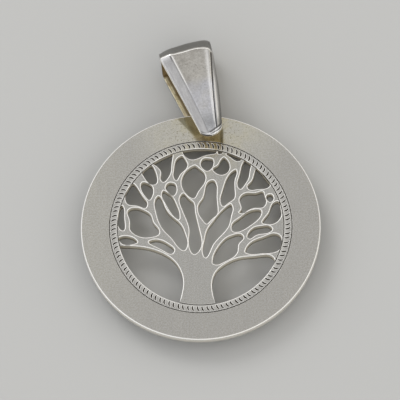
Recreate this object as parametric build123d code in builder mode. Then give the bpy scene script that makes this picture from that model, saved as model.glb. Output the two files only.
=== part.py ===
from build123d import *
from math import atan2, cos, degrees, pi, radians, sin, tan
import os

os.makedirs("parts", exist_ok=True)

# Tree of life pendant lying face up: X to the right, Y towards the bail, Z up.
# The origin is on the ground, under the middle of the whole.

# Disc
disc_r = 12.5
disc_thickness = 1.0
disc_chamfer = 0.1
rim_width = 2.97
border_width = 0.85

# Rope border engraved round the opening: two lines, and curved strokes between them, cut in pairs
engraving_depth = 0.12
line_width = 0.1
rope_pitch = 0.512
pair_shift = 0.04
rope_turn = 2.1
stroke_reach = 0.57
stroke_offset = 0.27
stroke_bow = 0.19
stroke_hollow = 0.03
stroke_foot = 0.07

# Post: plain pin through the rim, from leaf to leaf of the bail
post_r = 0.45
post_clearance = 0.1
post_end_gap = 0.04
post_turn = -2.6

# Bail: a tapered strip folded astride the rim, its front leaf channelled
bail_turn = 16.8
sheet = 0.45
front_gap = 2.35
back_gap = 0.5
front_spread = 5.7
back_spread = 2.9
tip_reach = 1.9
belly_reach = 2.6
crease_reach = 7.15
fold_rise = 1.95
back_crease_rise = 0.8
fold_front_share = 0.55
fold_rear_share = 0.23

# Bail: half widths, and how far each place is set across
tip_half_width = 1.04
belly_half_width = 1.97
crease_half_width = 2.65
back_tip_half_width = 1.05
back_crease_half_width = 2.7
tip_shift = 0.2
belly_shift = 0.29
crease_shift = 0.05
fold_shift = 0.35
back_crease_shift = 0.2
back_tip_shift = 0.18

# Bail: how high the middle panel stands over the edges, and the widths of the bevels beside it
channel_rise = 0.65
crease_rise = 0.5
back_crown = 0.12
tip_bevel_left = 0.9
tip_bevel_right = 0.74
belly_bevel_left = 1.0
belly_bevel_right = 0.85
crease_bevel_left = 1.12
crease_bevel_right = 0.3

# Piercings of the tree: the few points of each smooth closed outline, as shares of opening_r in hundredths.
# Points beyond 100 lie outside the opening, where its round edge trims the piercing.
piercing_shares = {
    "foot left": [(-106, -23), (-85.5, -24), (-64.5, -26.5), (-46, -33), (-32.5, -42.5),
                  (-23.5, -56.5), (-20.5, -72.5), (-22.5, -86.5), (-29, -107), (-78.5, -79.5)],
    "foot right": [(20, -106), (15, -85.5), (14, -70.5), (18.5, -57.5), (30, -47), (47, -39.6),
                   (69, -37.2), (84, -37.2), (88.5, -41.5), (86.5, -53), (76, -78.5)],
    "left eye": [(-97.5, -13), (-93.5, -11.5), (-85.5, -12), (-78.5, -15.5), (-76, -19.5),
                 (-79.5, -21.5), (-94.5, -21), (-97, -18.5)],
    "left slit": [(-101, 11.5), (-97.5, 24), (-94.5, 27.5), (-92.5, 23), (-92, 10.5), (-91, 0),
                  (-92.5, -4), (-98, -1)],
    "left window": [(-87, 14), (-86, 23), (-80.5, 25), (-69, 22), (-60, 15), (-57, 6), (-50.5, -3),
                    (-50, -8.5), (-57.5, -12.5), (-77, -10.5), (-84.5, -3.5)],
    "left leaf": [(-61.5, -18), (-55.5, -16), (-46, -17.5), (-37, -23), (-31.5, -30), (-34, -34),
                  (-42.5, -31.5), (-54, -25)],
    "left sail": [(-91, 37), (-86.5, 29), (-76, 27.5), (-66, 25), (-64.5, 29.5), (-69, 38),
                  (-76, 49.5), (-83, 56), (-86.5, 53), (-90.5, 44)],
    "left pebble": [(-72.5, 53.5), (-71.5, 48), (-66, 38.5), (-62, 35), (-59, 39), (-57.5, 47),
                    (-59, 52.5), (-64.5, 56.5), (-70.5, 57.5)],
    "left seed": [(-70.5, 67.5), (-66, 60.5), (-59, 54.5), (-54, 56), (-53, 63.5), (-55.5, 72.5),
                  (-60.5, 79.5), (-65.5, 77)],
    "left horn": [(-58, 81), (-51.5, 76.5), (-48, 70.5), (-48.5, 61.5), (-45.5, 58), (-40.5, 62),
                  (-36.5, 70.5), (-35.5, 83), (-35, 95.5), (-45, 92)],
    "crown seed": [(-24, 91.5), (-30, 86.5), (-32.5, 73.5), (-32.5, 63.5), (-30, 60), (-25.5, 67),
                   (-18, 75), (-16.5, 81), (-20, 88)],
    "crown slit": [(-23, 99), (-20, 92), (-14, 87.5), (-4.5, 88), (3, 91.5), (12.5, 93.5),
                   (18.5, 96), (17.5, 101), (-2.5, 103.5)],
    "crown nick": [(20.5, 97), (23, 98), (26, 95.5), (23.5, 94), (20.5, 94.5)],
    "crown ball": [(7.5, 88.5), (1.5, 86.5), (-0.5, 81), (2.5, 75), (7.5, 72), (12.5, 75), (15, 82),
                   (14, 87)],
    "crown drop": [(26.5, 89), (23, 84.5), (20, 79), (14.5, 75), (18.5, 69), (26.5, 67), (33, 71.5),
                   (34.5, 78.5), (31.5, 86)],
    "crown wedge": [(31, 92.5), (38, 87.5), (45.5, 84.5), (49, 86.5), (45, 92), (33.5, 96)],
    "bulb": [(-8.5, 79), (-15, 75), (-21.5, 66), (-23.5, 56.5), (-20.5, 46.5), (-14, 39), (-8.5, 37),
             (-4, 44), (3, 54.5), (5.5, 63.5), (2.5, 71), (-3, 76)],
    "left bead": [(-35.5, 57), (-40.5, 55.5), (-42.5, 50.5), (-38.5, 44), (-33.5, 40), (-30, 44),
                  (-29.5, 50.5), (-31.5, 55.5)],
    "long leaf": [(-46, 46), (-47, 40.5), (-43, 31), (-37, 20), (-30, 11.5), (-26.5, 9.5),
                  (-25.5, 15), (-29, 27.5), (-34.5, 39), (-41.5, 45)],
    "left flame": [(-52, 39.5), (-55, 34.5), (-54, 19.5), (-50.5, 7), (-44, -4.5), (-33.5, -16),
                   (-25.5, -27), (-19.5, -30), (-16.5, -25.5), (-18.5, -9), (-24, 3.5), (-37, 16),
                   (-44.5, 29), (-48, 37)],
    "trunk slot": [(-22.5, 42.5), (-25.5, 37), (-23.5, 25.5), (-17.5, 10.5), (-13.5, -3.5),
                   (-13, -27.5), (-7.5, -35), (-1.5, -30), (-1, -7), (-4.5, 8), (-7, 20.5),
                   (-9, 31.5), (-16, 38)],
    "middle pear": [(13, 60), (8.5, 57.5), (5, 47), (2.5, 37), (-2.5, 29), (-2.5, 17.5), (3, 8),
                    (7, 4), (12.5, 9), (19.5, 16), (20, 26.5), (19, 41.5), (18.5, 54.5)],
    "right flame": [(35, 29), (26.5, 22), (15, 7.5), (7.5, -4.5), (4, -20.5), (3, -34.5), (6, -39.5),
                    (10, -34.5), (14.5, -23.5), (25.5, -10), (34, 2.5), (37, 16), (38, 25.5)],
    "right blade": [(41.5, 73.5), (35.5, 69), (29.5, 58), (25.5, 44), (24, 31), (26.5, 26.5),
                    (33, 30.5), (39.5, 35.5), (40.5, 48.5), (41.5, 63.5), (43, 71)],
    "right reed": [(53.5, 87.5), (49.5, 79.5), (46, 64.5), (44.5, 52), (47, 48.5), (53, 54.5),
                   (57.5, 63.5), (59, 73.5), (59.5, 83)],
    "right sail": [(66, 75), (64, 67), (60.5, 58), (56, 51.5), (58, 48), (68, 48), (78.5, 49),
                   (83, 52.5), (80.5, 59), (73.5, 68.5), (69, 74.5)],
    "right window": [(46.5, 19), (49, 25), (46.5, 34), (49.5, 40.5), (56.5, 43.5), (67, 43.5),
                     (74.5, 45), (76.5, 40.5), (78, 29), (75, 25), (65.5, 24), (54.5, 19), (49, 17)],
    "right bead": [(83, 41.5), (78.7, 38.3), (79.8, 34), (84.1, 31.5), (87.2, 34.5), (86.7, 39.5)],
    "right fin": [(91.5, 32.5), (85.5, 28), (82.5, 19.5), (77, 11), (74, 5), (79.5, 3), (87.5, 3.5),
                  (94, 8.5), (97, 16), (95.5, 25.5), (94.5, 31)],
    "right leaf": [(37, -1.5), (39, -6), (47, -6), (57.5, 0), (67, 7.5), (72.5, 15.5), (72.5, 20.5),
                   (65.5, 22), (55.5, 18.5), (46, 11)],
    "right pod": [(56, -12.5), (58, -7), (64.5, -1), (73.5, 1), (83, 0.5), (86, -3.5), (83, -7),
                  (71.5, -9.5), (63.5, -13), (59, -15.5)],
    "low leaf": [(14.5, -46), (16, -35.5), (21.5, -25), (30, -15), (40.5, -10), (49, -10),
                 (51.5, -14), (46, -21.5), (44.5, -31), (39, -39), (27.5, -45.5), (18.5, -48.5)],
    "right fish": [(53.5, -31.5), (55.5, -26), (63.5, -18), (76, -13), (90, -9), (95.5, -12),
                   (97.5, -19.5), (94, -30), (86.5, -33.5), (71.5, -34.5), (57, -34.5)],
}

# Worked out from the sizes above
outer_line_r = disc_r - rim_width
opening_r = outer_line_r - border_width
hundredth = opening_r / 100
stroke_r = (opening_r + outer_line_r) / 2
rope_pairs = round(pi * stroke_r / rope_pitch)
second_turn = rope_turn + 180 / rope_pairs + degrees(pair_shift / stroke_r)
post_from_centre = (outer_line_r + disc_r) / 2
hole_r = post_r + post_clearance
fold_reach = crease_reach + fold_rise
back_reach = crease_reach + back_crease_rise
leaf_taper = (belly_half_width - tip_half_width) / (tip_reach + belly_reach)
tip_r = tip_half_width / (1 - leaf_taper)
tip_centre_shift = tip_shift + (belly_shift - tip_shift) * tip_r / (tip_reach + belly_reach)


def front_height(reach):
    """Height above the disc's middle of the front leaf's outer edges, at a reach from the post."""
    return disc_thickness / 2 + front_gap + sheet + reach * tan(radians(front_spread))


def back_height(reach):
    """Height above the disc's middle, a negative one, of the back leaf's outer face."""
    return -(disc_thickness / 2 + back_gap + sheet + reach * tan(radians(back_spread)))


def outward_turn(start, end):
    """Turn, from straight up towards the fold, of the outer face between two stations."""
    return (degrees(atan2(start[1] - end[1], end[0] - start[0])) + 90) % 360 - 90


# Bail: stations along the strip's outer face, from the front tip over the fold to the back tip.
# Columns of stations: reach from the post, height above the disc's middle, half width, rise, shift across
# Columns of bevels: width of the left bevel and of the right one
front_crease = front_height(crease_reach)
back_crease = back_height(back_reach)
fold_front = back_crease + (front_crease - back_crease) * fold_front_share
fold_rear = back_crease + (front_crease - back_crease) * fold_rear_share
stations = [
    (-tip_reach, front_height(-tip_reach), tip_half_width, channel_rise, tip_shift),
    (belly_reach, front_height(belly_reach), belly_half_width, channel_rise, belly_shift),
    (crease_reach, front_crease, crease_half_width, crease_rise, crease_shift),
    (fold_reach, fold_front, crease_half_width, back_crown, fold_shift),
    (fold_reach, fold_rear, crease_half_width, back_crown, fold_shift),
    (back_reach, back_crease, back_crease_half_width, back_crown, back_crease_shift),
    (-tip_reach, back_height(-tip_reach), back_tip_half_width, back_crown, back_tip_shift),
]
bevels = [(tip_bevel_left, tip_bevel_right), (belly_bevel_left, belly_bevel_right)]
bevels += [(crease_bevel_left, crease_bevel_right)] * (len(stations) - len(bevels))
turns = [outward_turn(start, end) for start, end in zip(stations, stations[1:])]
turns = turns[:1] + turns + turns[-1:]
section_turns = [radians(before + after) / 2 for before, after in zip(turns, turns[1:])]
mitres = [cos(radians(after - before) / 2) for before, after in zip(turns, turns[1:])]

# Placing: the lowest part of the bail on the ground, and the middle of the whole over the origin
across = Vector(1, 0).rotate(Axis.Z, bail_turn)
upward = Vector(0, 1).rotate(Axis.Z, bail_turn)
post_from_disc = Vector(0, post_from_centre).rotate(Axis.Z, post_turn)
bail_corner = post_from_disc + upward * fold_reach + across * (fold_shift + crease_half_width)
disc_middle = -min(
    station[1] + station[3] / mitre * cos(turn)
    for station, turn, mitre in zip(stations, section_turns, mitres)
)
disc_plane = Plane(origin=(0, (disc_r - bail_corner.Y) / 2, disc_middle - disc_thickness / 2))
post_at = disc_plane.origin + post_from_disc + Vector(0, 0, disc_thickness / 2)

# Tree disc: plate, piercings and the post's hole, then the engraved border
with BuildSketch() as tree_gaps:
    for outline in piercing_shares.values():
        with BuildLine():
            Spline([(x * hundredth, y * hundredth) for x, y in outline], periodic=True)
        make_face()
    Circle(opening_r + line_width / 2, mode=Mode.INTERSECT)

with BuildSketch() as stroke:
    foot_start = (-stroke_reach / 2, -stroke_offset / 2 - stroke_foot / 2)
    foot_end = (-stroke_reach / 2, -stroke_offset / 2 + stroke_foot / 2)
    outer_end = (stroke_reach / 2, stroke_offset / 2)
    sideways = Vector(stroke_offset, -stroke_reach).normalized()
    with BuildLine():
        ThreePointArc(foot_start, sideways * stroke_bow, outer_end)
        ThreePointArc(outer_end, sideways * stroke_hollow, foot_end)
        Line(foot_end, foot_start)
    make_face()

with BuildPart() as tree_disc:
    with BuildSketch(disc_plane):
        Circle(disc_r)
    extrude(amount=disc_thickness)
    chamfer(tree_disc.edges(), disc_chamfer)
    with BuildSketch(disc_plane):
        add(tree_gaps.sketch)
        with Locations((post_from_disc.X, post_from_disc.Y)):
            Circle(hole_r)
    extrude(amount=disc_thickness, mode=Mode.SUBTRACT)
    with BuildSketch(disc_plane.offset(disc_thickness)):
        # the outer line first, because each circle fills what lies inside it
        for line_r in (outer_line_r, opening_r):
            Circle(line_r + line_width / 2)
            Circle(line_r - line_width / 2, mode=Mode.SUBTRACT)
        for first_turn in (rope_turn, second_turn):
            with PolarLocations(stroke_r, rope_pairs, start_angle=first_turn):
                add(stroke.sketch)
    extrude(amount=-engraving_depth, mode=Mode.SUBTRACT)

# Bail: a section at each station, flat faces between them, then the tips rounded
with BuildPart() as bail:
    for station, bevel, turn, mitre in zip(stations, bevels, section_turns, mitres):
        reach, height, half_width, rise, shift = station
        bevel_left, bevel_right = bevel
        outward = upward * sin(turn) + Vector(0, 0, cos(turn))
        at = post_at + upward * reach + across * shift + Vector(0, 0, height)
        outer = [
            (-half_width, 0),
            (bevel_left - half_width, rise / mitre),
            (half_width - bevel_right, rise / mitre),
            (half_width, 0),
        ]
        inner = [(x, y - sheet / mitre) for x, y in reversed(outer)]
        with BuildSketch(Plane(origin=at, x_dir=across, z_dir=across.cross(outward))):
            Polygon(*outer, *inner, align=None)
    loft(ruled=True)
    with BuildSketch(Plane(origin=post_at, x_dir=across, z_dir=(0, 0, 1))):
        with Locations((tip_centre_shift, tip_r - tip_reach)):
            Circle(tip_r)
            Rectangle(disc_r, disc_r, align=(Align.CENTER, Align.MIN))
    extrude(amount=disc_r, both=True, mode=Mode.INTERSECT)

# Post: its ends stop short of the sloping leaves
post_head = front_height(0) + channel_rise - sheet - post_r * tan(radians(front_spread)) - post_end_gap
post_foot = back_height(0) + sheet + post_r * tan(radians(back_spread)) + post_end_gap
with BuildPart() as bail_post:
    with BuildSketch(Plane(origin=post_at + Vector(0, 0, post_foot))):
        Circle(post_r)
    extrude(amount=post_head - post_foot)

tree_disc.part.label = "tree_disc"
bail.part.label = "bail"
bail_post.part.label = "bail_post"
export_step(tree_disc.part, "parts/tree_disc.step")
export_step(bail.part, "parts/bail.step")
export_step(bail_post.part, "parts/bail_post.step")
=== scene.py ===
import math

import bmesh
import bpy
import numpy as np
from mathutils import Matrix, Vector
from mathutils.geometry import delaunay_2d_cdt


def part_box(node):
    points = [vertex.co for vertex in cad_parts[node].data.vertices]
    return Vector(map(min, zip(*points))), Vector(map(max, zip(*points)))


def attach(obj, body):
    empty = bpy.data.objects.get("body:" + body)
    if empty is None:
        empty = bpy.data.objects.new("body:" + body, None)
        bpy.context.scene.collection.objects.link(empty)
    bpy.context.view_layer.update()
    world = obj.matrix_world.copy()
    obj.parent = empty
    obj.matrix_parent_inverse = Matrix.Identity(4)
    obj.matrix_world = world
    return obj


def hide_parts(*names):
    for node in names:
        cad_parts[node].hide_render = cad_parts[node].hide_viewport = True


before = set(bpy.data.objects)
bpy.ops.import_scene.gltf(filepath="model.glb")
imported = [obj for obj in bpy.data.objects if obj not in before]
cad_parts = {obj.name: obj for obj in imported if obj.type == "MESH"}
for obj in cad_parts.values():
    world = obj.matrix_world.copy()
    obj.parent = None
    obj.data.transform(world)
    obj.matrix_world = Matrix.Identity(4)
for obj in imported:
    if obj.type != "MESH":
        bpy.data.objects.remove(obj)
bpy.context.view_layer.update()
mm = 0.001

discLow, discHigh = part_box("tree_disc")
postLow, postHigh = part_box("bail_post")
discMiddle = (discLow + discHigh) / 2
faceCentre = Vector((discMiddle.x, discMiddle.y, discHigh.z))
postAt = Vector(((postLow.x + postHigh.x) / 2, (postLow.y + postHigh.y) / 2, discMiddle.z))
print("frame loaded:", sorted(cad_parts))


# small node helpers
def setInputs(tree, made, inputs):
    # a value that is a socket is linked, any other is typed in
    for name, value in inputs.items():
        if isinstance(value, bpy.types.NodeSocket):
            tree.links.new(value, made.inputs[name])
        else:
            made.inputs[name].default_value = value


def addNode(tree, kind, inputs=None, **settings):
    made = tree.nodes.new("ShaderNode" + kind)
    for name, value in settings.items():
        setattr(made, name, value)
    setInputs(tree, made, inputs or {})
    return made


def startMaterial(name):
    material = bpy.data.materials.new(name)
    material.use_nodes = True
    tree = material.node_tree
    return material, tree, tree.nodes["Principled BSDF"]


def calc(tree, operation, first, *others):
    # one value's operation, or the first's with each of the others in turn
    result = first
    for other in others or (0.0,):
        result = addNode(tree, "Math", {0: result, 1: other}, operation=operation).outputs[0]
    return result


def times(tree, *values):
    return calc(tree, "MULTIPLY", *values)


def ramp(tree, value, low, high, lowOut=0.0, highOut=1.0):
    # smooth step from lowOut at low to highOut at high
    return addNode(tree, "MapRange",
                   {"Value": value, "From Min": low, "From Max": high, "To Min": lowOut, "To Max": highOut},
                   interpolation_type="SMOOTHSTEP").outputs["Result"]


def band(tree, value, rise, fall):
    # share that comes with one ramp and goes with another
    return times(tree, ramp(tree, value, *rise), ramp(tree, value, *fall))


def namedRamps(tree, finish):
    # ramps by their names in a finish's dictionary
    return lambda value, name: ramp(tree, value, *finish[name])


def noise(tree, place, size, detail, stretch=(1, 1, 1)):
    # size is the width of a spot
    scaled = addNode(tree, "Mapping", {"Vector": place, "Scale": stretch}).outputs[0]
    return addNode(tree, "TexNoise",
                   {"Vector": scaled, "Scale": 1 / size, "Detail": detail, "Roughness": 0.55}).outputs["Fac"]


def mixColour(tree, share, first, second):
    made = addNode(tree, "Mix", {"Factor": share}, data_type="RGBA")
    for slot, colour in ((6, first), (7, second)):
        linked = isinstance(colour, bpy.types.NodeSocket)
        setInputs(tree, made, {slot: colour if linked else (*colour, 1.0)})
    return made.outputs[2]


def layered(tree, colour, *layers):
    # colours laid over the first in turn, each by its share
    for share, over in layers:
        colour = mixColour(tree, share, colour, over)
    return colour


def relief(tree, height, depth, under=None):
    # bumps of a depth in mm, laid over others
    inputs = {"Height": height, "Strength": 1.0, "Distance": depth * mm}
    if under is not None:
        inputs["Normal"] = under
    return addNode(tree, "Bump", inputs).outputs[0]


def meshShare(tree, name):
    # share that the mesh holds as an attribute
    return addNode(tree, "Attribute", attribute_name=name).outputs["Fac"]


def objectPlace(tree, centre, turn=0.0):
    # place in mm from a centre, turned back by turn about the upright axis
    home = Matrix.Rotation(-turn, 3, "Z") @ Vector(centre) / -mm
    coordinates = addNode(tree, "TexCoord").outputs["Object"]
    return addNode(tree, "Mapping",
                   {"Vector": coordinates, "Location": home, "Rotation": (0, 0, -turn),
                    "Scale": (1 / mm,) * 3}).outputs[0]


def addObject(name, data):
    made = bpy.data.objects.new(name, data)
    bpy.context.scene.collection.objects.link(made)
    return made


# Finish of the disc: satin silver with a fine upright grain, walls darkened with depth by painted shade, worn
# edges pale with a painted highlight, a painted shadow of the bail beside it, and dark engraving. Places are
# in mm from the face's middle. A ramp is its two ends and, unless 0 and 1, what it gives there. A noise is
# the width of its spots and its detail
discFinish = {
    "silver": (0.788, 0.771, 0.735),
    "palest": (0.985, 0.96, 0.865),  # round the bail
    "treeSilver": (0.69, 0.682, 0.656),
    "landSilver": (0.75, 0.733, 0.692),  # between the border's strokes
    "landPale": (0.90, 0.88, 0.83),  # at their inner ends
    "polishAndHighlight": (0.83, 0.815, 0.78),  # the worn edges: polish and painted highlight
    "wall": (0.74, 0.69, 0.57),
    # painted shade deep down the walls
    "wallShadeLow": (0.10, 0.08, 0.055),
    "engraving": (0.05, 0.043, 0.03),
    "toning": (0.83, 0.76, 0.52),
    "bailShade": (0.30, 0.27, 0.155),  # painted shadow and dark reflection of the bail, round its edges
    "speck": (0.36, 0.32, 0.20),
    "cloud": (2.2, 4.0),
    "fine": (0.2, 3.0),
    "mottle": (0.17, 2.0),
    "grain": (0.07, 4.0),
    "grainLength": 3.0,
    "grainDown": 0.05,  # the same for its stretch down the walls
    "grainTint": (0.3, 0.7, 0.0, 0.06),
    "mottleTint": (0.3, 0.7, 0.0, 0.22),  # marks left by handling
    "borderInner": 8.5,
    "borderOuter": 9.7,
    "borderSoft": 0.05,
    "landInset": 0.1,  # the land starts so far inside the border, and softens over as much
    "landInner": (9.15, 8.8),
    "paleReach": (10.0, 3.0),  # from the post
    "palePatch": (0.25, 0.65, 0.6, 1.0),
    "paleLeft": (-4.0, -13.0, 0.0, 0.4),
    "toningReach": (7.0, 1.2),
    "toningPatch": (0.42, 0.68, 0.1, 0.8),
    "speckReach": (6.5, 2.0, 0.03, 0.7),
    "speckPatch": (0.57, 0.66),
    "leftCorner": (-2.57, 12.1),  # a place on the sharp side of the left band of painted shadow
    "leftAcross": (0.743, 0.669),  # the direction across it
    "leftSides": ((-0.04, 0.12), (1.2, 0.3, 0.5, 1.0)),
    "leftLow": (9.9, 10.5, 0.0, 0.85),
    "leftInner": (0.3, -0.2),
    "rightSides": ((1.85, 2.1), (2.37, 2.29)),
    "rightEnds": ((8.9, 9.3, 0.0, 0.85), (11.2, 10.8)),
    "bailShadePatch": (0.3, 0.7, 1.0, 0.8),
    "cutDepth": (-0.03, -0.1),
    "wallDepth": (-0.13, -0.24),
    # the walls darken with painted shade over these depths
    "wallShadeDepth": (-0.4, -1.0),
    "wallRim": (12.18, 12.38, 0.0, 0.5),
    "under": (-0.97, -0.995),
    "wallGloss": 0.6,
    "wornHighlightGloss": 0.3,  # metallic share of the worn edges, which are finely scratched and carry a painted highlight
    "roughness": (0.25, 0.75, 0.14, 0.22),
    "cutRoughness": 0.25,  # added in the cuts, on the walls and on the worn edges
    "treeRoughness": 0.05,  # added inside the border, where the polishing wheel didn't reach
    "grainRelief": 0.0012,
    "cloudRelief": 0.012,
}


def bailShadeShare(tree, x, y, cloud):
    # painted shadow and dark reflection of the bail: a slanting band left of the bail, sharp along its left
    # side, and a narrow upright one on the right
    make = discFinish
    share = namedRamps(tree, make)
    cornerX, cornerY = make["leftCorner"]
    acrossX, acrossY = make["leftAcross"]
    slant = calc(tree, "ADD", times(tree, calc(tree, "SUBTRACT", x, cornerX), acrossX),
                 times(tree, calc(tree, "SUBTRACT", y, cornerY), acrossY))
    left = times(tree, band(tree, slant, *make["leftSides"]), share(y, "leftLow"), share(x, "leftInner"))
    right = times(tree, band(tree, x, *make["rightSides"]), band(tree, y, *make["rightEnds"]))
    return times(tree, calc(tree, "MAXIMUM", left, right), share(cloud, "bailShadePatch"))


def discSilver():
    make = discFinish
    inner, outer, inset = make["borderInner"], make["borderOuter"], make["landInset"]
    material, tree, shader = startMaterial("discSilver")
    share = namedRamps(tree, make)
    place = objectPlace(tree, faceCentre)
    x, y, z = addNode(tree, "SeparateXYZ", {0: place}).outputs
    radius = calc(tree, "SQRT", calc(tree, "ADD", times(tree, x, x), times(tree, y, y)))
    fromPost = addNode(tree, "VectorMath",
                       {0: place, 1: (postAt - faceCentre) / mm}, operation="DISTANCE").outputs["Value"]
    grainStretch = (1, make["grain"][0] / make["grainLength"], make["grainDown"])
    grain = noise(tree, place, *make["grain"], grainStretch)
    cloud, fine, mottle = (noise(tree, place, *make[name]) for name in ("cloud", "fine", "mottle"))

    # face: paler round the bail and towards the left, greyer inside the border
    pale = times(tree, share(fromPost, "paleReach"), share(cloud, "palePatch"))
    pale = calc(tree, "MAXIMUM", pale, share(x, "paleLeft"))
    inBorder = ramp(tree, radius, inner + inset, inner)
    land = band(tree, radius, (inner + inset, inner + 2 * inset), (outer - inset, outer - 2 * inset))
    between = mixColour(tree, share(radius, "landInner"), make["landSilver"], make["landPale"])
    # toning: yellow near the bail's post, in patches
    toning = times(tree, share(fromPost, "toningReach"), share(cloud, "toningPatch"))
    specks = times(tree, share(fine, "speckPatch"), share(fromPost, "speckReach"))
    # engraving: below the face inside the border
    soft = make["borderSoft"]
    cut = times(tree, band(tree, radius, (inner, inner + soft), (outer, outer - soft)), share(z, "cutDepth"))
    face = layered(
        tree, make["silver"],
        (pale, make["palest"]),
        (inBorder, make["treeSilver"]),
        (share(grain, "grainTint"), make["speck"]),
        (share(mottle, "mottleTint"), make["speck"]),
        (land, between),
        (toning, make["toning"]),
        (bailShadeShare(tree, x, y, cloud), make["bailShade"]),
        (specks, make["speck"]),
        (cut, make["engraving"]))

    # walls: darker with depth by painted shade, and lighter on the outer rim
    wall = layered(tree, make["wall"], (share(z, "wallShadeDepth"), make["wallShadeLow"]),
                   (share(radius, "wallRim"), make["polishAndHighlight"]))
    wallShare = times(tree, share(z, "wallDepth"), calc(tree, "SUBTRACT", 1.0, share(z, "under")))
    # worn edges: polish colour, less metallic, as a painted highlight
    worn = meshShare(tree, "worn")
    gloss = calc(tree, "MINIMUM", ramp(tree, wallShare, 0.0, 1.0, 1.0, make["wallGloss"]),
                 ramp(tree, worn, 0.0, 1.0, 1.0, make["wornHighlightGloss"]))
    cutRough = times(tree, calc(tree, "MAXIMUM", wallShare, cut, worn), make["cutRoughness"])
    rough = calc(tree, "ADD", share(grain, "roughness"), cutRough,
                 ramp(tree, radius, outer, inner, 0.0, make["treeRoughness"]))
    grained = relief(tree, grain, make["grainRelief"])
    setInputs(tree, shader, {
        "Base Color": layered(tree, face, (wallShare, wall), (worn, make["polishAndHighlight"])),
        "Metallic": gloss,
        "Roughness": rough,
        "Normal": relief(tree, cloud, make["cloudRelief"], grained),
    })
    return material


# Tree disc: the turned and pierced plate, its edges worn round. Sizes in mm
discPiece = {
    "openingWear": 0.09,  # width of the round worn on the face's edge of the piercings
    "arcWear": 0.06,  # on the border's edge over the piercings
    "strokeWear": 0.03,  # on the engraved strokes
    "lineWear": 0.012,  # on the two engraved lines
    "rearWear": 0.07,  # on the back's edges
    "wearLimit": 0.75,  # share of the half width of the metal that the round may take
    "cornerLimit": 0.65,  # a step at a corner is no longer than 1 / this
    "lines": (8.68, 9.53),  # radii of the engraved lines
    "lineWidth": 0.1,
    "lineReach": 0.07,  # a place so near a line lies on it
    "engraved": 0.12,  # depth of the engraving
    "shallow": 0.2,  # a cut less deep than this is engraved
    "engravedFrom": 8.6,  # from the middle
    "treeReach": 0.1,  # the walls of the piercings end so far past the inner line
    "rimBand": 12.0,  # from the middle, beyond it the rim keeps its turned chamfer
    "chamferSlope": (0.3, 0.95),  # upright part of the normals of the chamfer's faces
    "flatSlope": 0.9999,  # and of those of the flat faces, at least
    "rounds": 4,  # steps of each round
    "sharpTurn": 35,  # degrees from which an edge is sharp
    "parts": 16,  # long sums are worked out in parts, to save memory
}
# tolerances in mm, and a distance past any on the disc
near = {"level": 1e-4, "floor": 1e-3, "wallEnd": 0.01, "engraving": 0.002, "arc": 0.01, "openPlace": 0.003}
farAway = 1e3


def unitRows(vectors):
    return vectors / np.maximum(np.linalg.norm(vectors, axis=1, keepdims=True), 1e-12)


def writeShares(mesh, name, domain, values):
    mesh.attributes.new(name, "FLOAT", domain).data.foreach_set("value", values.astype(np.float32))


def readAll(items, name, width=1, kind=np.int32):
    # one property of all the items, as an array
    values = np.empty(len(items) * width, kind)
    items.foreach_get(name, values)
    return values


def metalRadius(places, inward):
    # radius of the largest circle that touches the outline at each place and stays in the metal: the least of
    # distance squared / (2 * distance along the inward direction), over all the other places
    rows = []
    for part in np.array_split(np.arange(len(places)), discPiece["parts"]):
        apart = places[None] - places[part][:, None]
        ahead = np.einsum("ijk,ik->ij", apart, inward[part])
        squared = (apart ** 2).sum(-1)
        rows.append(np.where(ahead > 1e-7, squared / np.maximum(2 * ahead, 1e-9), farAway).min(1))
    return np.concatenate(rows)


def insideOutline(places, start, end):
    # a place is inside if a level line from it to the right crosses the outline an odd number of times
    (x0, y0), (x1, y1) = start.T, end.T
    inside = []
    for part in np.array_split(places, discPiece["parts"]):
        x, y = part[:, :1], part[:, 1:]
        crosses = (y0 > y) != (y1 > y)
        rise = np.where(y0 == y1, 1.0, y1 - y0)
        at = x0 + (y - y0) * (x1 - x0) / rise
        inside.append((crosses & (at > x)).sum(1) % 2 == 1)
    return np.concatenate(inside)


def faceOutline(points, triangles, height, facing):
    # the triangles that aren't on the flat face at a height, and for each side of its outline: start and end,
    # the direction into the metal at its start, which is the mean of those square to the two sides there, and
    # how much longer a step that way is than one square to a side, 1 / the cosine between them
    level = np.abs(points[triangles, 2] - height).max(1) < near["level"]
    flat, walls = triangles[level], triangles[~level]
    sides = np.concatenate([flat[:, [0, 1]], flat[:, [1, 2]], flat[:, [2, 0]]])
    keys = sides @ [len(points), 1]
    start, end = sides[~np.isin(keys, sides[:, ::-1] @ [len(points), 1])].T
    before = np.empty(len(points), int)
    before[end] = start
    here = points[start, :2]
    leave, arrive = unitRows(points[end, :2] - here), unitRows(here - points[before[start], :2])
    turned = np.array([[0, 1], [-1, 0]]) * facing
    inward = unitRows(leave @ turned + arrive @ turned)
    stretch = 1 / np.maximum((inward * (leave @ turned)).sum(1), discPiece["cornerLimit"])
    return walls, start, end, inward, stretch


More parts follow.
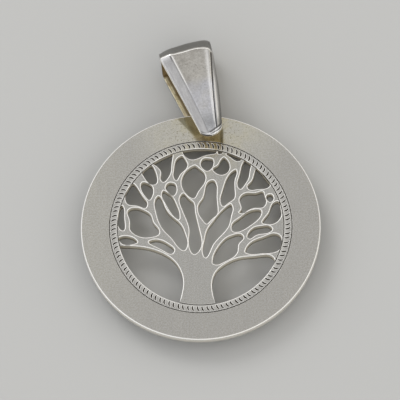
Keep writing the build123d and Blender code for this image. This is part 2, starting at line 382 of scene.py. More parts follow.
def wearAlong(points, walls, start, inward, height, wears):
    # width of the round at each place of the outline: the wear of what it edges, as far as the metal allows
    make = discPiece
    openingWear, strokeWear, arcWear = wears
    here = points[start, :2]
    fromMiddle = np.hypot(*here.T)
    # how deep the wall goes below each place
    depth = np.full(len(points), farAway)
    np.minimum.at(depth, walls.ravel(), np.repeat(np.abs(points[walls, 2] - height).max(1), 3))
    engraved = (depth[start] < make["shallow"]) & (fromMiddle > make["engravedFrom"])
    # over a piercing the border's edge has no engraved floor beside it
    onFloor = np.abs(points[walls, 2] + make["engraved"]).max(1) < near["floor"]
    floorPlaces = points[np.unique(walls[onFloor]), :2]
    apart = np.concatenate([np.abs(part[:, None] - floorPlaces).max(-1).min(1)
                            for part in np.array_split(here, make["parts"])])
    openingEdge = make["lines"][0] + make["lineWidth"] / 2
    overOpening = engraved & (np.abs(fromMiddle - openingEdge) < near["arc"]) & (apart > near["openPlace"])
    onLine = (np.abs(fromMiddle[:, None] - make["lines"]) < make["lineReach"]).any(1) & engraved
    wear = np.where(engraved, strokeWear, openingWear)
    wear = np.where(onLine, make["lineWear"], wear)
    wear = np.minimum(wear, make["wearLimit"] * metalRadius(here, inward))
    wear = np.where(overOpening, arcWear, wear)
    wear[fromMiddle > make["rimBand"]] = 0
    return wear


def wornFace(points, triangles, height, facing, wears):
    # the flat face at a height is set back from its outline by the wear, the wall under the outline starts
    # lower by as much, and a quarter circle joins them: inward * (1 - sin t) across, (1 - cos t) down
    rounds = discPiece["rounds"]
    walls, start, end, inward, stretch = faceOutline(points, triangles, height, facing)
    wear = wearAlong(points, walls, start, inward, height, wears)
    number = np.full(len(points), -1)
    number[start] = np.arange(len(start))
    t = np.linspace(0, math.pi / 2, rounds + 1)[:-1, None]
    shift = inward * (wear * stretch)[:, None]
    rings = np.empty((rounds, len(start), 3))
    rings[..., :2] = points[start, :2] + shift * (1 - np.sin(t))[..., None]
    rings[..., 2] = height - facing * wear * (1 - np.cos(t))
    worn = wear > 0
    labels = len(points) + np.arange(rings[..., 0].size).reshape(rounds, -1)
    labels = np.concatenate([np.where(worn, labels, start), start[None]])
    points = points.copy()
    points[start, 2] -= facing * wear
    # strips of the round, from each ring to the next
    a, b = labels[:, worn], labels[:, number[end[worn]]]
    strips = np.stack([b[:-1], a[:-1], a[1:], b[1:]], -1).reshape(-1, 4)
    # the flat face again, inside its new outline
    edges = np.stack([number[start], number[end]], 1)
    outline = rings[0, :, :2]
    found = delaunay_2d_cdt([Vector(place) for place in outline], edges.tolist(), [], 1, 1e-7)
    places, fill, source = np.array(found[0]), np.array(found[2]), found[3]
    fill = fill[insideOutline(places[fill].mean(1), outline[edges[:, 0]], outline[edges[:, 1]])]
    # places that it added, where the outline crosses itself, come after all the others
    extra = [index for index, names in enumerate(source) if not names]
    names = np.array([labels[0, names[0]] if names else -1 for names in source])
    names[extra] = len(points) + rings[..., 0].size + np.arange(len(extra))
    fill = names[fill][:, ::facing]
    added = [[*places[index], height] for index in extra]
    points = np.concatenate([points, rings.reshape(-1, 3), np.array(added).reshape(-1, 3)])
    print("worn face:", len(start), "places,", len(fill), "triangles,", len(extra), "crossings")
    return points, walls, strips, fill


def discTriangles():
    # the CAD node's places, in mm from the middle of the face, and its triangles, doubles merged
    shape = bmesh.new()
    shape.from_mesh(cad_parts["tree_disc"].data)
    bmesh.ops.remove_doubles(shape, verts=shape.verts, dist=1e-7)
    merged = bpy.data.meshes.new("merged")
    shape.to_mesh(merged)
    shape.free()
    points = readAll(merged.vertices, "co", 3, float).reshape(-1, 3) / mm - np.array(faceCentre) / mm
    triangles = readAll(merged.polygons, "vertices", 3).reshape(-1, 3).astype(int)
    bpy.data.meshes.remove(merged)
    return points, triangles


def sharpenFlatFaces(mesh):
    # the flat faces stay flat up to their outlines: an edge with one of them on one side only is sharp
    flatFace = np.abs(readAll(mesh.polygons, "normal", 3, float)[2::3]) > discPiece["flatSlope"]
    sides = readAll(mesh.polygons, "loop_total")
    flatCount = np.zeros(len(mesh.edges), int)
    np.add.at(flatCount, readAll(mesh.loops, "edge_index"), np.repeat(flatFace, sides))
    sharp = readAll(mesh.edges, "use_edge_sharp", 1, bool)
    mesh.edges.foreach_set("use_edge_sharp", sharp | (flatCount == 1))


def treeDisc():
    make = discPiece
    points, triangles = discTriangles()
    thickness = (discHigh.z - discLow.z) / mm
    # the places between the top and the bottom of the tall walls are kept between the two rounds
    height = points[:, 2]
    between = (height < -near["wallEnd"]) & (height > near["wallEnd"] - thickness)
    between &= np.abs(height + make["engraved"]) > near["engraving"]
    between &= np.hypot(*points[:, :2].T) < make["lines"][0] + make["treeReach"]
    rest = thickness - make["openingWear"] - make["rearWear"]
    points[between, 2] = height[between] * rest / thickness - make["openingWear"]
    frontWears = [make[name] for name in ("openingWear", "strokeWear", "arcWear")]
    rearWears = [make["rearWear"]] * 3
    points, triangles, topStrips, topFill = wornFace(points, triangles, 0, 1, frontWears)
    points, triangles, lowStrips, lowFill = wornFace(points, triangles, -thickness, -1, rearWears)
    # only the places in use are kept, in their order
    groups = triangles, topStrips, lowStrips, topFill, lowFill
    used = np.unique(np.concatenate([group.ravel() for group in groups]))
    order = np.zeros(len(points), int)
    order[used] = np.arange(len(used))
    placed = (points[used] * mm + np.array(faceCentre)).tolist()
    faces = [face for group in groups for face in order[group].tolist()]
    mesh = bpy.data.meshes.new("finished_tree_disc")
    mesh.from_pydata(placed, [], faces)
    # the rounds and the rim's chamfers are worn, and marked for polish with a painted highlight
    corner = points[triangles]
    upright = np.abs(unitRows(np.cross(corner[:, 1] - corner[:, 0], corner[:, 2] - corner[:, 0]))[:, 2])
    low, high = make["chamferSlope"]
    onRim = np.hypot(*corner.mean(1)[:, :2].T) > make["rimBand"]
    chamfer = (upright > low) & (upright < high) & onRim
    roundCount, fillCount = len(topStrips) + len(lowStrips), len(topFill) + len(lowFill)
    worn = np.concatenate([chamfer, np.ones(roundCount), np.zeros(fillCount)])
    writeShares(mesh, "worn", "FACE", worn)
    mesh.validate()
    mesh.shade_smooth()
    mesh.set_sharp_from_angle(angle=math.radians(make["sharpTurn"]))
    sharpenFlatFaces(mesh)
    piece = addObject("finished_tree_disc", mesh)
    mesh.materials.append(discSilver())
    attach(piece, "disc")
    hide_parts("tree_disc")
    print("tree disc:", len(mesh.polygons), "faces")


treeDisc()

# Finish of the bail: polished cool silver outside, with painted shade on its bevels, fold and tip and painted
# highlights on its ridges, crease and lip; old gold tarnish inside, with painted shade under the front leaf.
# Noises and ramps are written as above, and a ramp along the strip counts its stations
bailFinish = {
    "silver": (0.80, 0.77, 0.71),
    "lilac": (0.825, 0.825, 0.865),
    # painted shade: greyer silver towards the front tip
    "tipShadeSilver": (0.56, 0.565, 0.58),
    "smut": (0.2, 0.19, 0.17),
    # painted shade: the left bevel in darker silver, paler in streaks and towards its edge
    "flank": (0.294, 0.288, 0.283),
    "flankPale": (0.378, 0.371, 0.362),
    # painted shade: the right bevel in darker silver, up to near the crease
    "rightBevelShade": (0.48, 0.471, 0.453),
    # painted shade: the fold beyond the crease in dark silver
    "fold": (0.13, 0.122, 0.105),
    "polishAndHighlight": (0.98, 0.97, 0.96),  # polish and painted highlight along the ridges, the crease and the tip's lip
    "shade": (0.16, 0.155, 0.14),
    # painted shade: the line beside the right ridge, the dark line beside the left one and the dark lines of
    # the tip's lip
    "seam": (0.03, 0.028, 0.025),
    "speck": (0.38, 0.35, 0.31),
    "tarnish": (0.86, 0.78, 0.56),
    "tarnishMid": (0.42, 0.33, 0.17),
    "tarnishDark": (0.14, 0.09, 0.03),
    # painted highlight: pale gold near the back tip
    "goldHighlight": (0.92, 0.88, 0.76),
    "cloud": (1.4, 4.0),
    "fine": (0.16, 3.0),
    "mottle": (0.22, 3.0),
    "streak": (0.09, 4.0, (1, 0.06, 1)),  # drawn out along the strip
    "flankStreak": (0.3, 2.0, (1, 0.1, 1)),
    "coolAlong": (1.4, 1.16),
    "coolPatch": (0.3, 0.6, 0.55, 1.0),
    # where the painted shade near the tip lies, along the strip
    "tipShadeAlong": ((0.68, 0.34), (0.1, 0.28, 0.3, 1.0)),
    "smearPatch": (0.5, 0.68, 0.0, 0.34),
    "smearAlong": (1.1, 1.4),
    "speckPatch": (0.54, 0.7),
    "speckAlong": (0.9, 1.7, 0.1, 0.6),
    "flankTint": (0.38, 0.66, 0.0, 0.6),
    "flankEdge": (0.75, 1.0, 0.0, 0.6),
    "flankWhole": (0.0, 0.5),
    "mottleTint": (0.3, 0.7, 0.0, 0.21),  # marks left by handling
    "tarnishPatch": (0.42, 0.7),
    "tarnishSpecks": (0.55, 0.75, 0.0, 0.6),
    # where the painted highlight lies on the gold, along the strip
    "goldHighlightAlong": (5.35, 5.7, 0.0, 0.8),
    "insideGloss": (0.3, 0.9, 1.0, 0.55),  # metallic share, less on the tarnish
    "ridgeHighlightGloss": (0.0, 1.0, 1.0, 0.35),  # and on the worn ridges, with their painted highlights
    "roughness": (0.3, 0.7, 0.11, 0.19),
    "dullRoughness": 0.18,  # added inside, in the lines of painted shade and on the fold
    "streakRelief": 0.0008,
    "pitRelief": 0.004,
}


def bailSilver():
    make = bailFinish
    material, tree, shader = startMaterial("bailSilver")
    share = namedRamps(tree, make)
    place = objectPlace(tree, postAt, math.radians(bailPiece["turn"]))
    inside, along, seam, shade, flank, right, fold, ridge, deep = (
        meshShare(tree, name) for name in "inside along seam shade flank right fold ridge deep".split())
    cloud, fine, mottle, streak, flankStreak = (
        noise(tree, place, *make[name]) for name in ("cloud", "fine", "mottle", "streak", "flankStreak"))

    # outside: lilac towards the tip, painted shade near it, dark specks and smears towards the crease, then
    # what the
    # mesh marks: painted shade on the bevels and the fold, painted highlights on the ridges, the crease and
    # the lip, and lines of painted shade
    cool = times(tree, share(along, "coolAlong"), share(cloud, "coolPatch"))
    smear = times(tree, share(cloud, "smearPatch"), share(along, "smearAlong"))
    specks = times(tree, share(fine, "speckPatch"), share(along, "speckAlong"))
    flankColour = layered(tree, make["flank"], (share(flankStreak, "flankTint"), make["flankPale"]),
                          (share(flank, "flankEdge"), make["flankPale"]))
    outside = layered(
        tree, make["silver"],
        (cool, make["lilac"]),
        (band(tree, along, *make["tipShadeAlong"]), make["tipShadeSilver"]),
        (calc(tree, "MAXIMUM", smear, specks), make["speck"]),
        (share(flank, "flankWhole"), flankColour),
        (share(mottle, "mottleTint"), make["smut"]),
        (right, make["rightBevelShade"]),
        (shade, make["shade"]),
        (fold, make["fold"]),
        (ridge, make["polishAndHighlight"]),
        (seam, make["seam"]))
    gold = layered(
        tree, make["tarnish"],
        (share(cloud, "tarnishPatch"), make["tarnishMid"]),
        (share(fine, "tarnishSpecks"), make["tarnishDark"]),
        (share(along, "goldHighlightAlong"), make["goldHighlight"]),
        # painted shade under the front leaf, in the dark tarnish colour
        (deep, make["tarnishDark"]))
    dull = times(tree, calc(tree, "MAXIMUM", inside, seam, fold), make["dullRoughness"])
    streaked = relief(tree, streak, make["streakRelief"])
    setInputs(tree, shader, {
        "Base Color": mixColour(tree, inside, outside, gold),
        "Metallic": calc(tree, "MINIMUM", share(inside, "insideGloss"), share(ridge, "ridgeHighlightGloss")),
        "Roughness": calc(tree, "ADD", share(streak, "roughness"), dull),
        "Normal": relief(tree, fine, make["pitRelief"], streaked),
    })
    return material


# Bail: a tapered strip folded astride the rim. Sizes in mm. Its stations are the front tip, the belly, the
# crease, the fold's front and rear, the back crease and the back tip
bailPiece = {
    "turn": 16.8, "sheet": 0.45, "frontGap": 2.35, "backGap": 0.5,
    "frontSpread": 5.7, "backSpread": 2.9, "foldFrontShare": 0.55, "foldRearShare": 0.23,
    "tipReach": 2.03, "bellyReach": 2.6, "creaseReach": 7.15, "foldRise": 1.95, "backCreaseRise": 0.8,
    "tipHalf": 1.04, "bellyHalf": 2.0, "creaseHalf": 2.65, "backCreaseHalf": 2.7, "backTipHalf": 1.05,
    "tipShift": 0.26, "bellyShift": 0.32, "creaseShift": 0.07, "foldShift": 0.35,
    "backCreaseShift": 0.2, "backTipShift": 0.18,
    "creaseWiden": 0.1,  # added to the crease's half width
    "foldWiden": 0.12,  # and to that of the fold's front
    "rise": 0.65, "creaseRise": 0.5, "crown": 0.12,
    "bevelLeft": (0.9, 1.0, 1.12),  # at the tip, the belly and the crease
    "bevelRight": (0.74, 0.85, 0.25),
    "softLeft": (0.4, 0.2, 0.09, 0.3, 0.3, 0.3, 0.3),  # rounding of the ridges at each station
    "softRight": (0.1, 0.1, 0.08, 0.15, 0.15, 0.15, 0.15),
    "softBefore": (0, 2.1, 0.14, 0.95, 0.35, 0.3, 0),  # rounding along the strip, before each station
    "softAfter": (0, 2.1, 0.2, 0.35, 0.3, 0.5, 0),  # and after it
    "dish": 0.04,  # hollow of the middle panel
    "groove": 0.09,  # depth of the line beside the right ridge
    "grooveAt": 2.15,  # its column: 2 is the ridge and 3 the edge
    "grooveWidth": 0.085,
    "bulgeLeft": 0.03,  # how far the bevels bulge, as shares of their widths
    "bulgeRight": 0.1,
    "frontRound": 0.6,  # share of the first run in which the tip's curve fades out
    "rearRound": 0.3,  # and of the last run
    "creaseArch": (0.1, 0.5, 0.8, 1.9),  # reach added to the crease, lost at its right end, from, over
    "creaseLeft": (0.34, -1.2, -1.4),  # reach added to its left end, from, over
    "creaseCorner": (0.2, 2.2, 0.5),  # reach lost at its right corner, from, over
    "foldArch": (0.34, 0.2),  # reach added to the fold's middle, lost at its ends
    "foldCorner": (0.16, 2.3, 0.7),  # reach lost at its right corner, from, over
    "tipRoll": (0.12, 0.11),  # drop of the tip's lip, and share of the first run that it takes
    "edgeRound": 0.07,
    "bumps": 0.007,  # height of the soft polish waves
    "waves": ((2.1, 1.3, 0.6), (-0.8, 1.7, 0.0), (3.7, -2.9, 1.9)),  # radians a mm across and along, start
    "thirdWave": 0.6,
    # columns, and rows in stations: each stretch's start and steps, and how far they close up at its ends
    "columns": ((0, 14, 0.6), (0.8, 10), (1.2, 12), (1.9, 20), (2.35, 11), 3),
    "rows": ((0, 26), (0.15, 14), (0.6, 26), (1.9, 18), (2.15, 24), (3.3, 8), (3.8, 8), (4.2, 5), (4.8, 8),
             (5.1, 18), (5.85, 8), 6),
}


def slope(values, start, over, least=0, most=1):
    # straight rise from 0 at start to 1 at start + over, or fall if over is negative, kept from least to most
    return np.clip((values - start) / over, least, most)


def stripe(values, middle, width, strength=1.0):
    # strength * e to the power of -(distance from the middle / width) squared
    return strength * np.exp(-((values - middle) / width) ** 2)


def softWeights(u, before, after):
    # share of each station at u, counted in stations: a straight mix between two of them, and near a station
    # the quadratic curve from u - before to u + after, so that a corner there is round
    count = len(before)
    share = np.clip(1 - np.abs(u[..., None] - np.arange(count)), 0, 1)
    for k in range(1, count - 1):
        close = (u > k - before[k]) & (u < k + after[k])
        v = (u[close] - k + before[k]) / (before[k] + after[k])
        share[close] = 0
        share[close, k - 1] = (1 - v) ** 2 * before[k]
        share[close, k + 1] = v ** 2 * after[k]
        share[close, k] = 1 - share[close, k - 1] - share[close, k + 1]
    return share


def easedSteps(start, end, count, ease=0.0):
    # count steps from start to end, closer together at both ends as ease goes to 1
    t = np.linspace(0, 1, count, endpoint=False)
    return start + (end - start) * ((1 - ease) * t + ease * (1 - np.cos(math.pi * t)) / 2)


def steppedLine(*stretches):
    # steps through the stretches, up to the last number
    *stretches, last = stretches
    ends = [stretch[0] for stretch in stretches[1:]] + [last]
    steps = [easedSteps(start, end, *rest) for (start, *rest), end in zip(stretches, ends)]
    return np.concatenate([*steps, [last]])


def channelSection(half, rise, bevelLeft, bevelRight, softLeft, softRight, columns):
    # half profile of the channel: up the left bevel, over the panel, down the right bevel, its ridges rounded
    # over the given lengths; the bevels bulge and the panel is hollowed by parabolas 4 s (1 - s), and a line
    # is cut beside the right ridge
    make = bailPiece
    corners = np.array([(-half, 0), (bevelLeft - half, rise), (half - bevelRight, rise), (half, 0)])
    steps = np.diff(corners, axis=0)
    runs = np.hypot(*steps.T)
    before = [0, softLeft / runs[0], softRight / runs[1], 0]
    after = [0, softLeft / runs[1], softRight / runs[2], 0]
    profile = softWeights(columns, before, after) @ corners
    for first, bulge in ((0, make["bulgeLeft"]), (2, make["bulgeRight"])):
        s = slope(columns, first, 1)
        profile += (4 * s * (1 - s) * bulge)[:, None] * np.array([-steps[first, 1], steps[first, 0]])
    share = slope(rise, make["crown"], make["rise"] - make["crown"])
    panel = slope(columns, 1, 1)
    line = stripe(columns, make["grooveAt"], make["grooveWidth"])
    profile[:, 1] -= share * (make["dish"] * 4 * panel * (1 - panel) + make["groove"] * line)
    return profile


def bailStations():
    # reach from the post, height over the disc's middle, half width, rise and shift across at each station;
    # the leaves' heights are half the disc + gap + sheet + reach * tangent of the spread
    make = bailPiece
    halfDisc = (discHigh.z - discLow.z) / 2 / mm
    foldReach = make["creaseReach"] + make["foldRise"]
    backReach = make["creaseReach"] + make["backCreaseRise"]
    reach = np.array([-make["tipReach"], make["bellyReach"], make["creaseReach"], foldReach, foldReach,
                      backReach, -make["tipReach"]])
    front, back = (halfDisc + make[side + "Gap"] + make["sheet"]
                   + reach * math.tan(math.radians(make[side + "Spread"])) for side in ("front", "back"))
    rear = -back[5]
    fold = [rear + (front[2] - rear) * make[name] for name in ("foldFrontShare", "foldRearShare")]
    height = np.array([*front[:3], *fold, *-back[5:]])
    crease = make["creaseHalf"]
    half = [make["tipHalf"], make["bellyHalf"], crease + make["creaseWiden"], crease + make["foldWiden"],
            crease, make["backCreaseHalf"], make["backTipHalf"]]
    rise = [make["rise"], make["rise"], make["creaseRise"], *[make["crown"]] * 4]
    shift = np.array([make[name + "Shift"]
                      for name in ("tip", "belly", "crease", "fold", "fold", "backCrease", "backTip")])
    return reach, height, half, rise, shift


def roundedTips(rows, across, reach):
    # place of each row and column along the strip, in stations. A column's ends stop on a circle, further in
    # by its radius - the square root of (radius squared - distance from the middle squared). The sections
    # widen along the strip, so this is worked out three times, each from the last
    make = bailPiece
    taper = (make["bellyHalf"] - make["tipHalf"]) / (make["tipReach"] + make["bellyReach"])
    tipRadius = make["tipHalf"] / (1 - taper)
    offCentre = across[[0, -1]]
    for _ in range(3):
        depth = tipRadius - np.sqrt(np.maximum(tipRadius ** 2 - offCentre ** 2, 0))
        frontShift = depth[0] / (reach[1] - reach[0])
        backShift = depth[1] / (reach[-2] - reach[-1])
        u = rows[:, None] + frontShift * slope(rows[:, None], make["frontRound"], -make["frontRound"])
        u = u - backShift * slope(rows[:, None], len(reach) - 1 - make["rearRound"], make["rearRound"])
        offCentre = np.stack([(1 - frontShift) * across[0] + frontShift * across[1],
                              (1 - backShift) * across[-1] + backShift * across[-2]])
    return u


def archedStations(off, foldShift):
    # reach added to the crease and the fold at each place across, off being its distance from the middle: the
    # crease falls away to the right by a parabola and rises to the left, the fold is one parabola, and their
    # right corners are rounded by parabolas
    make = bailPiece
    arch = np.zeros(off.shape)
    gain, loss, *rightEnd = make["creaseArch"]
    leftGain, *leftEnd = make["creaseLeft"]
    cornerLoss, *corner = make["creaseCorner"]
    arch[2] = gain - loss * slope(off[2], *rightEnd) ** 2
    arch[2] += leftGain * slope(off[2], *leftEnd)
    arch[2] -= cornerLoss * slope(off[2], *corner) ** 2
    middle, ends = make["foldArch"]
    cornerLoss, *corner = make["foldCorner"]
    arch[3:5] = middle - ends * ((off[3] - foldShift) / make["creaseHalf"]) ** 2
    arch[3:5] -= cornerLoss * slope(off[3], *corner) ** 2
    return arch


def bailFaces():
    # points of the strip's outer and inner faces on a grid of rows and columns, in mm from the post across,
    # towards the fold and in height: sections at the stations, mixed along the strip by soft weights
    make = bailPiece
    columns, rows = steppedLine(*make["columns"]), steppedLine(*make["rows"])
    reach, height, half, rise, shift = bailStations()
    bevelLeft, bevelRight = (np.pad(make[name], (0, 4), "edge") for name in ("bevelLeft", "bevelRight"))
    sections = np.stack([channelSection(*values, columns) for values in
                         zip(half, rise, bevelLeft, bevelRight, make["softLeft"], make["softRight"])])
    u = roundedTips(rows, sections[:, :, 0], reach)
    runs = np.hypot(np.diff(reach), np.diff(height))
    shares = softWeights(u, np.array(make["softBefore"]) / np.r_[1, runs],
                         np.array(make["softAfter"]) / np.r_[runs, 1])
    # outward direction at each station, halfway between those of its two runs, and the mitre of the corner
    runTurn = (np.degrees(np.arctan2(-np.diff(height), np.diff(reach))) + 90) % 360 - 90
    before, after = np.r_[runTurn[0], runTurn], np.r_[runTurn, runTurn[-1]]
    turn, mitre = np.radians(before + after) / 2, np.cos(np.radians(after - before) / 2)
    outward = np.stack([np.zeros(len(turn)), np.sin(turn), np.cos(turn)], 1)
    off = sections[:, :, 0] + shift[:, None]
    arch = archedStations(off, shift[3])

    def face(depth):
        level = (sections[:, :, 1] - depth) / mitre[:, None]
        stations = level[:, :, None] * outward[:, None, :]
        stations[:, :, 0] += off
        stations[:, :, 1] += reach[:, None] + arch
        stations[:, :, 2] += height[:, None]
        stations[2, :, 2] += arch[2] * math.tan(math.radians(make["frontSpread"]))
        return np.einsum("ijk,kjc->ijc", shares, stations)

    outer, inner = face(0.0), face(make["sheet"])
    # soft waves left by hand polishing, on both faces alike, and the tip's lip rolled down
    first, second, third = (np.sin(outer[..., 0] * across + outer[..., 1] * along + start)
                            for across, along, start in make["waves"])
    wave = first * second + make["thirdWave"] * third
    rollDrop, rollShare = make["tipRoll"]
    roll = rollDrop * slope(rows, rollShare, -rollShare) ** 2
    lift = (wave * make["bumps"] - roll[:, None])[..., None] * np.einsum("ijk,kc->ijc", shares, outward)
    return outer + lift, inner + lift, u, rows, columns


def outwardFaces(points, faces):
    # a closed surface whose faces enclose a negative volume is turned inside out
    a, b, c, d = (points[faces[:, n]] for n in range(4))
    volume = (np.cross(b, c) * a).sum() + (np.cross(c, d) * a).sum()
    return faces if volume > 0 else faces[:, ::-1]


def shellFaces(nRows, nColumns):
    # quads of a closed shell: the outer grid, the inner one turned round, and a strip along each side
    number = np.arange(nRows * nColumns).reshape(nRows, nColumns)
    rear = number + nRows * nColumns

    def quads(grid):
        return np.stack([grid[:-1, :-1], grid[:-1, 1:], grid[1:, 1:], grid[1:, :-1]], -1).reshape(-1, 4)

    sides = [np.stack([rear[:, 0], number[:, 0]], 1), np.stack([number[:, -1], rear[:, -1]], 1),
             np.stack([rear[0], number[0]], 0), np.stack([number[-1], rear[-1]], 0)]
    return np.concatenate([quads(number), quads(rear)[:, ::-1]] + [quads(side) for side in sides])


# Painted shade and highlights, and the ridges' polish, on the bail's faces, placed across in columns, where 0
# and 3 are the edges and 1 and 2 the ridges, and along in stations, where 0 is the front tip, 2 the crease
# and 6 the back tip
bailPaintedLightAndPolish = {
    # stripes: middle, width and strength
    # painted highlights along the ridges, the left edge and the crease, and on the left bevel below the
    # crease
    "leftRidge": (1, 0.04, 0.8),
    "rightRidge": (1.94, 0.07, 0.6),
    "leftEdge": (0, 0.06, 0.8),
    "underCrease": (1.96, 0.05, 0.3),  # on the left bevel
    "crease": (2.0, 0.010, 0.85),
    "notch": (0.9, 0.05, 0.7),  # painted shade beside the left ridge
    # slopes: start, over and, unless they are 0 and 1, least and most
    "channel": (2.0, -0.06),  # the channel's marks end at the crease
    "pastLip": (0.11, 0.04),  # and start behind the tip's lip
    "leftRidgeFrom": (0.9, 0.5, 0.25, 1),
    "rightRidgeFrom": (0.2, 0.14, 0.15, 1),
    "underCreaseTo": (0.9, -0.1),
    "creaseTo": (2.35, -0.2),
    "notchFrom": (1.82, 0.05),
    "bellyToCrease": (1, 1),
    "sideTurn": (0.25, 0.5),
    "tipShadeTo": (0.42, -0.12),
    "tipShadeFrom": (2.22, 0.06),
    # where the right bevel's painted shade lies
    "rightFrom": (2.2, 0.1),
    "rightTo": (2.1, -0.4),
    # painted shade on the inner faces under the front leaf, from the crease on, but for a margin at the left
    # edge near the back tip
    "deepFrom": (2.2, 0.2),
    "deepTo": (5.03, -0.08, 0, 0.95),
    "deepAcross": (0.28, 0.08, 0, 0.8),
    # where the left bevel's painted shade lies
    "flankTo": (1.0, -0.1),
    "flankEdge": (0.4, -0.4),
    # the fold's painted shade, from the crease on
    "fold": (2.03, 0.07),
    "seamShift": 0.06,  # what the painted shade line beside the right ridge is moved at the crease
    "seamWiden": 1.3,  # and widened, as a share
    "side": (2.44, 0.16, 0.4),  # the right bevel's painted shade: its column, its shift towards the belly, over
    "tipShade": 0.5,  # at the right of the tip
    # painted shade and highlight lines along the tip's lip, as stripes in rows, and slopes across it, in
    # columns, for where they run
    "lipRight": (0.85, 0.4),
    "lipLeft": ((1.3, -0.3), (0, 0.2)),
    "lipGlint": (1.2, 0.3),
    "lipClosest": 0.65,
    "lipWider": (1.3, 0.9),
    "darkRight": ((0.128, 0.026, 0.9), (0.056, 0.011, 0.7)),
    "darkLeft": (0.0, 0.018, 0.9),
    "brightRight": (0.09, 0.013, 0.8),
    "brightGlint": (0.02, 0.016, 0.9),
    "brightLeft": (0.055, 0.014, 0.8),
}


def lipLines(rows, columns):
    # shares of the painted shade lines and the painted highlight lines, which spread apart towards the right.
    # From
    # the edge inwards: a bright, a dark, a bright and a wide dark one, and on the left bevel a dark and a
    # bright one
    mark = bailPaintedLightAndPolish
    closest = mark["lipClosest"]
    spread = closest + (1 - closest) * slope(columns, *mark["lipWider"])

    def line(middle, width, strength):
        return stripe(rows[:, None], middle * spread, width * spread, strength)

    right, glint = slope(columns, *mark["lipRight"]), slope(columns, *mark["lipGlint"])
    left = slope(columns, *mark["lipLeft"][0]) * slope(columns, *mark["lipLeft"][1])
    dark = sum(line(*each) for each in mark["darkRight"]) * right + line(*mark["darkLeft"]) * left
    bright = line(*mark["brightRight"]) * right + line(*mark["brightGlint"]) * glint
    return dark, bright + line(*mark["brightLeft"]) * left


def paintedLightAndPolishShares(u, rows, columns):
    # share of each mark of painted shade, painted highlight and polish at every place of the grid
    make, mark = bailPiece, bailPaintedLightAndPolish
    channel = slope(u, *mark["channel"])
    pastLip = slope(rows, *mark["pastLip"])[:, None]
    lipDark, lipBright = lipLines(rows, columns)
    ridges = stripe(columns, *mark["leftRidge"]) * slope(u, *mark["leftRidgeFrom"])
    ridges = ridges + stripe(columns, *mark["rightRidge"]) * slope(u, *mark["rightRidgeFrom"])
    ridges = (ridges * pastLip + stripe(columns, *mark["leftEdge"])) * channel
    ridges += stripe(u, *mark["underCrease"]) * slope(columns, *mark["underCreaseTo"])
    crease = stripe(u, *mark["crease"]) * slope(columns, *mark["creaseTo"])
    # near the crease, where the right bevel is narrow, the painted shade line takes a larger share of it
    upper = slope(u, *mark["bellyToCrease"])
    seam = stripe(columns, make["grooveAt"] + mark["seamShift"] * upper,
                  make["grooveWidth"] * (1 + mark["seamWiden"] * upper))
    notch = stripe(columns, *mark["notch"]) * slope(u, *mark["notchFrom"])
    sideAt, sideShift, sideOver = mark["side"]
    sideFrom = sideAt + sideShift * slope(u, *mark["sideTurn"])
    tipShade = mark["tipShade"] * slope(u, *mark["tipShadeTo"]) * slope(columns, *mark["tipShadeFrom"])
    deep = np.maximum(slope(u, *mark["deepTo"]), slope(columns, *mark["deepAcross"]))
    return {
        "seam": np.maximum(np.maximum(seam, notch) * channel * pastLip, lipDark),
        "shade": np.maximum(slope(columns, sideFrom, sideOver), tipShade) * channel,
        "right": slope(columns, *mark["rightFrom"]) * slope(u, *mark["rightTo"]),
        "ridge": np.maximum(ridges, crease + lipBright),
        "deep": slope(u, *mark["deepFrom"]) * deep,
        "flank": (slope(columns, *mark["flankTo"]) + slope(columns, *mark["flankEdge"])) / 2 * channel,
        "fold": slope(u, *mark["fold"]),
        "along": u,
    }


def markRims(mesh, gridShape):
    # bevel weights for the strip's worn edges, between two places on the side of the grid, both on the outer
    # face or both on the inner one
    side = np.zeros(gridShape, bool)
    side[[0, -1], :] = side[:, [0, -1]] = True
    onSide = np.tile(side.ravel(), 2)
    isInner = np.repeat([False, True], side.size)
    ends = readAll(mesh.edges, "vertices", 2).reshape(-1, 2)
    rim = onSide[ends].all(1) & (isInner[ends[:, 0]] == isInner[ends[:, 1]])
    writeShares(mesh, "bevel_weight_edge", "EDGE", rim)


def bailStrip():
    make = bailPiece
    outer, inner, u, rows, columns = bailFaces()
    # from the bail's own directions to the frame's
    direction = math.radians(make["turn"])
    across = (math.cos(direction), math.sin(direction), 0)
    upward = (-math.sin(direction), math.cos(direction), 0)
    local = np.concatenate([outer.reshape(-1, 3), inner.reshape(-1, 3)])
    points = np.array(postAt) + local @ np.array([across, upward, (0, 0, 1)]) * mm
    faces = outwardFaces(points, shellFaces(*u.shape))
    mesh = bpy.data.meshes.new("finished_bail")
    mesh.from_pydata(points.tolist(), [], faces.tolist())
    mesh.validate()

    marks = {name: np.tile(values.ravel(), 2) for name, values in paintedLightAndPolishShares(u, rows, columns).items()}
    marks["inside"] = np.repeat([0, 1], u.size)
    for name, values in marks.items():
        writeShares(mesh, name, "POINT", values)
    markRims(mesh, u.shape)
    mesh.shade_smooth()

    piece = addObject("finished_bail", mesh)
    worn = piece.modifiers.new("wornEdges", "BEVEL")
    worn.limit_method = "WEIGHT"
    worn.width = make["edgeRound"] * mm
    worn.segments = 3
    worn.use_clamp_overlap = False
    worn.harden_normals = True
    mesh.materials.append(bailSilver())
    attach(piece, "bail")
    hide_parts("bail")
    print("bail:", len(faces), "faces")


bailStrip()

# Post: plain round pin, with the tarnish of the bail's inside
postFinish = {
    "silver": (0.66, 0.58, 0.40),
    "tarnish": (0.22, 0.16, 0.07),
    "cloud": (0.7, 4.0),
    "tarnishPatch": (0.35, 0.65),
    "rings": (0.05, 2.0, (0.1, 0.1, 1)),  # noise drawn out round the pin
    "roughness": (0.3, 0.7, 0.25, 0.38),
    "ringRelief": 0.002,
}


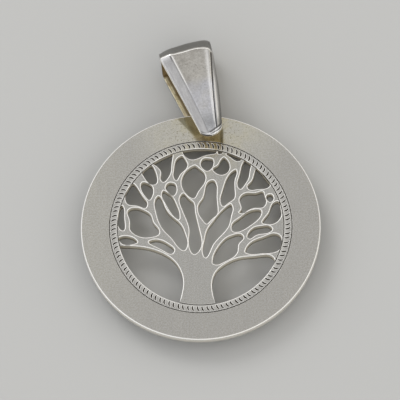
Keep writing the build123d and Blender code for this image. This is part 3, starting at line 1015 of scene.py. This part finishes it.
def postSilver():
    make = postFinish
    material, tree, shader = startMaterial("postSilver")
    share = namedRamps(tree, make)
    place = objectPlace(tree, postAt)
    cloud, rings = (noise(tree, place, *make[name]) for name in ("cloud", "rings"))
    setInputs(tree, shader, {
        "Base Color": mixColour(tree, share(cloud, "tarnishPatch"), make["silver"], make["tarnish"]),
        "Metallic": 1.0,
        "Roughness": share(rings, "roughness"),
        "Normal": relief(tree, rings, make["ringRelief"]),
    })
    return material


def bailPost():
    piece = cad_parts["bail_post"]
    piece.data.materials.clear()
    piece.data.materials.append(postSilver())
    print("post: CAD node kept, new finish")


bailPost()

# Floor, light and camera
studio = {
    "floor": (0.46, 0.46, 0.45),
    "floorSize": 4.0,  # m
    "floorRoughness": 0.9,
    "floorShine": 0.1,
    "cameraAzimuth": 4.5,  # degrees
    "cameraElevation": 69.07,
    "cameraRoll": 4.5,
    "cameraDistance": 0.6,  # m
    "viewWidth": 41.70,  # mm across the picture
    "sensor": 36.0,
    "aimUp": 2.778,  # mm from the face's centre, up and right in the picture
    "aimRight": -0.069,
}


def floorPlane():
    half = studio["floorSize"] / 2
    corners = [(-half, -half, 0), (half, -half, 0), (half, half, 0), (-half, half, 0)]
    mesh = bpy.data.meshes.new("floor")
    mesh.from_pydata(corners, [], [(0, 1, 2, 3)])
    material, tree, shader = startMaterial("floorPale")
    setInputs(tree, shader, {"Base Color": (*studio["floor"], 1), "Roughness": studio["floorRoughness"],
                             "Specular IOR Level": studio["floorShine"]})
    mesh.materials.append(material)
    floor = addObject("floor", mesh)


# light tent: brightness by the height z and the side x that the light comes from
tent = {
    "levels": [(0.0, 0.6), (0.15, 0.8), (0.32, 1.35), (0.78, 1.35), (0.88, 0.7), (0.925, 0.52), (0.95, 0.52),
               (0.982, 0.8), (1.0, 0.84)],
    "full": 1.5,  # brightness at the ramp's white
    "sides": (0.0, 0.8, 0.82, 1.12),
    "warm": (1.0, 0.985, 0.955),
    "cool": (0.965, 0.975, 1.0),
    "coolToWarm": (-0.6, 0.6),
}


def lightTent():
    world = bpy.data.worlds.new("lightTent")
    bpy.context.scene.world = world
    world.use_nodes = True
    tree = world.node_tree
    direction = addNode(tree, "TexCoord").outputs["Generated"]
    x, y, z = addNode(tree, "SeparateXYZ", {0: direction}).outputs
    levels = addNode(tree, "ValToRGB", {"Fac": z})
    levels.color_ramp.interpolation = "B_SPLINE"
    points = levels.color_ramp.elements
    while len(points) < len(tent["levels"]):
        points.new(0.5)
    # moving a point can change the order, so all are moved before any is coloured
    for point, (height, light) in zip(points, tent["levels"]):
        point.position = height
    for point, (height, light) in zip(points, tent["levels"]):
        point.color = (light / tent["full"],) * 3 + (1,)
    sides = ramp(tree, calc(tree, "ABSOLUTE", x), *tent["sides"])
    setInputs(tree, tree.nodes["Background"], {
        "Color": mixColour(tree, ramp(tree, x, *tent["coolToWarm"]), tent["cool"], tent["warm"]),
        "Strength": times(tree, levels.outputs["Color"], sides, tent["full"]),
    })


# place in m from the disc's face, side in m
keyLight = {"offset": (-0.45, 0.55, 0.62), "side": 0.4, "watts": 2.0, "colour": (1.0, 0.99, 0.97)}


def softLight():
    offset = Vector(keyLight["offset"])
    light = bpy.data.lights.new("keyLight", "AREA")
    light.size = keyLight["side"]
    light.energy = keyLight["watts"]
    light.color = keyLight["colour"]
    lamp = addObject("keyLight", light)
    lamp.location = faceCentre + offset
    lamp.rotation_euler = (-offset).to_track_quat("-Z", "Y").to_euler()


def photoCamera():
    azimuth, elevation, roll = (math.radians(studio[name]) for name in
                                ("cameraAzimuth", "cameraElevation", "cameraRoll"))
    back = Vector((math.sin(azimuth) * math.cos(elevation), -math.cos(azimuth) * math.cos(elevation),
                   math.sin(elevation)))
    level = Vector((math.cos(azimuth), math.sin(azimuth), 0))
    right = Matrix.Rotation(-roll, 3, back) @ level
    up = back.cross(right)
    data = bpy.data.cameras.new("photoCamera")
    data.sensor_width = studio["sensor"]
    data.lens = studio["sensor"] * studio["cameraDistance"] / (studio["viewWidth"] * mm)
    camera = addObject("photoCamera", data)
    target = faceCentre + (up * studio["aimUp"] + right * studio["aimRight"]) * mm
    facing = Matrix((right, up, back)).transposed().to_4x4()
    camera.matrix_world = Matrix.Translation(target + back * studio["cameraDistance"]) @ facing
    bpy.context.scene.camera = camera


floorPlane()
lightTent()
softLight()
photoCamera()
bpy.context.scene.view_settings.view_transform = "Standard"
print("floor, light and camera placed")

bpy.context.view_layer.update()
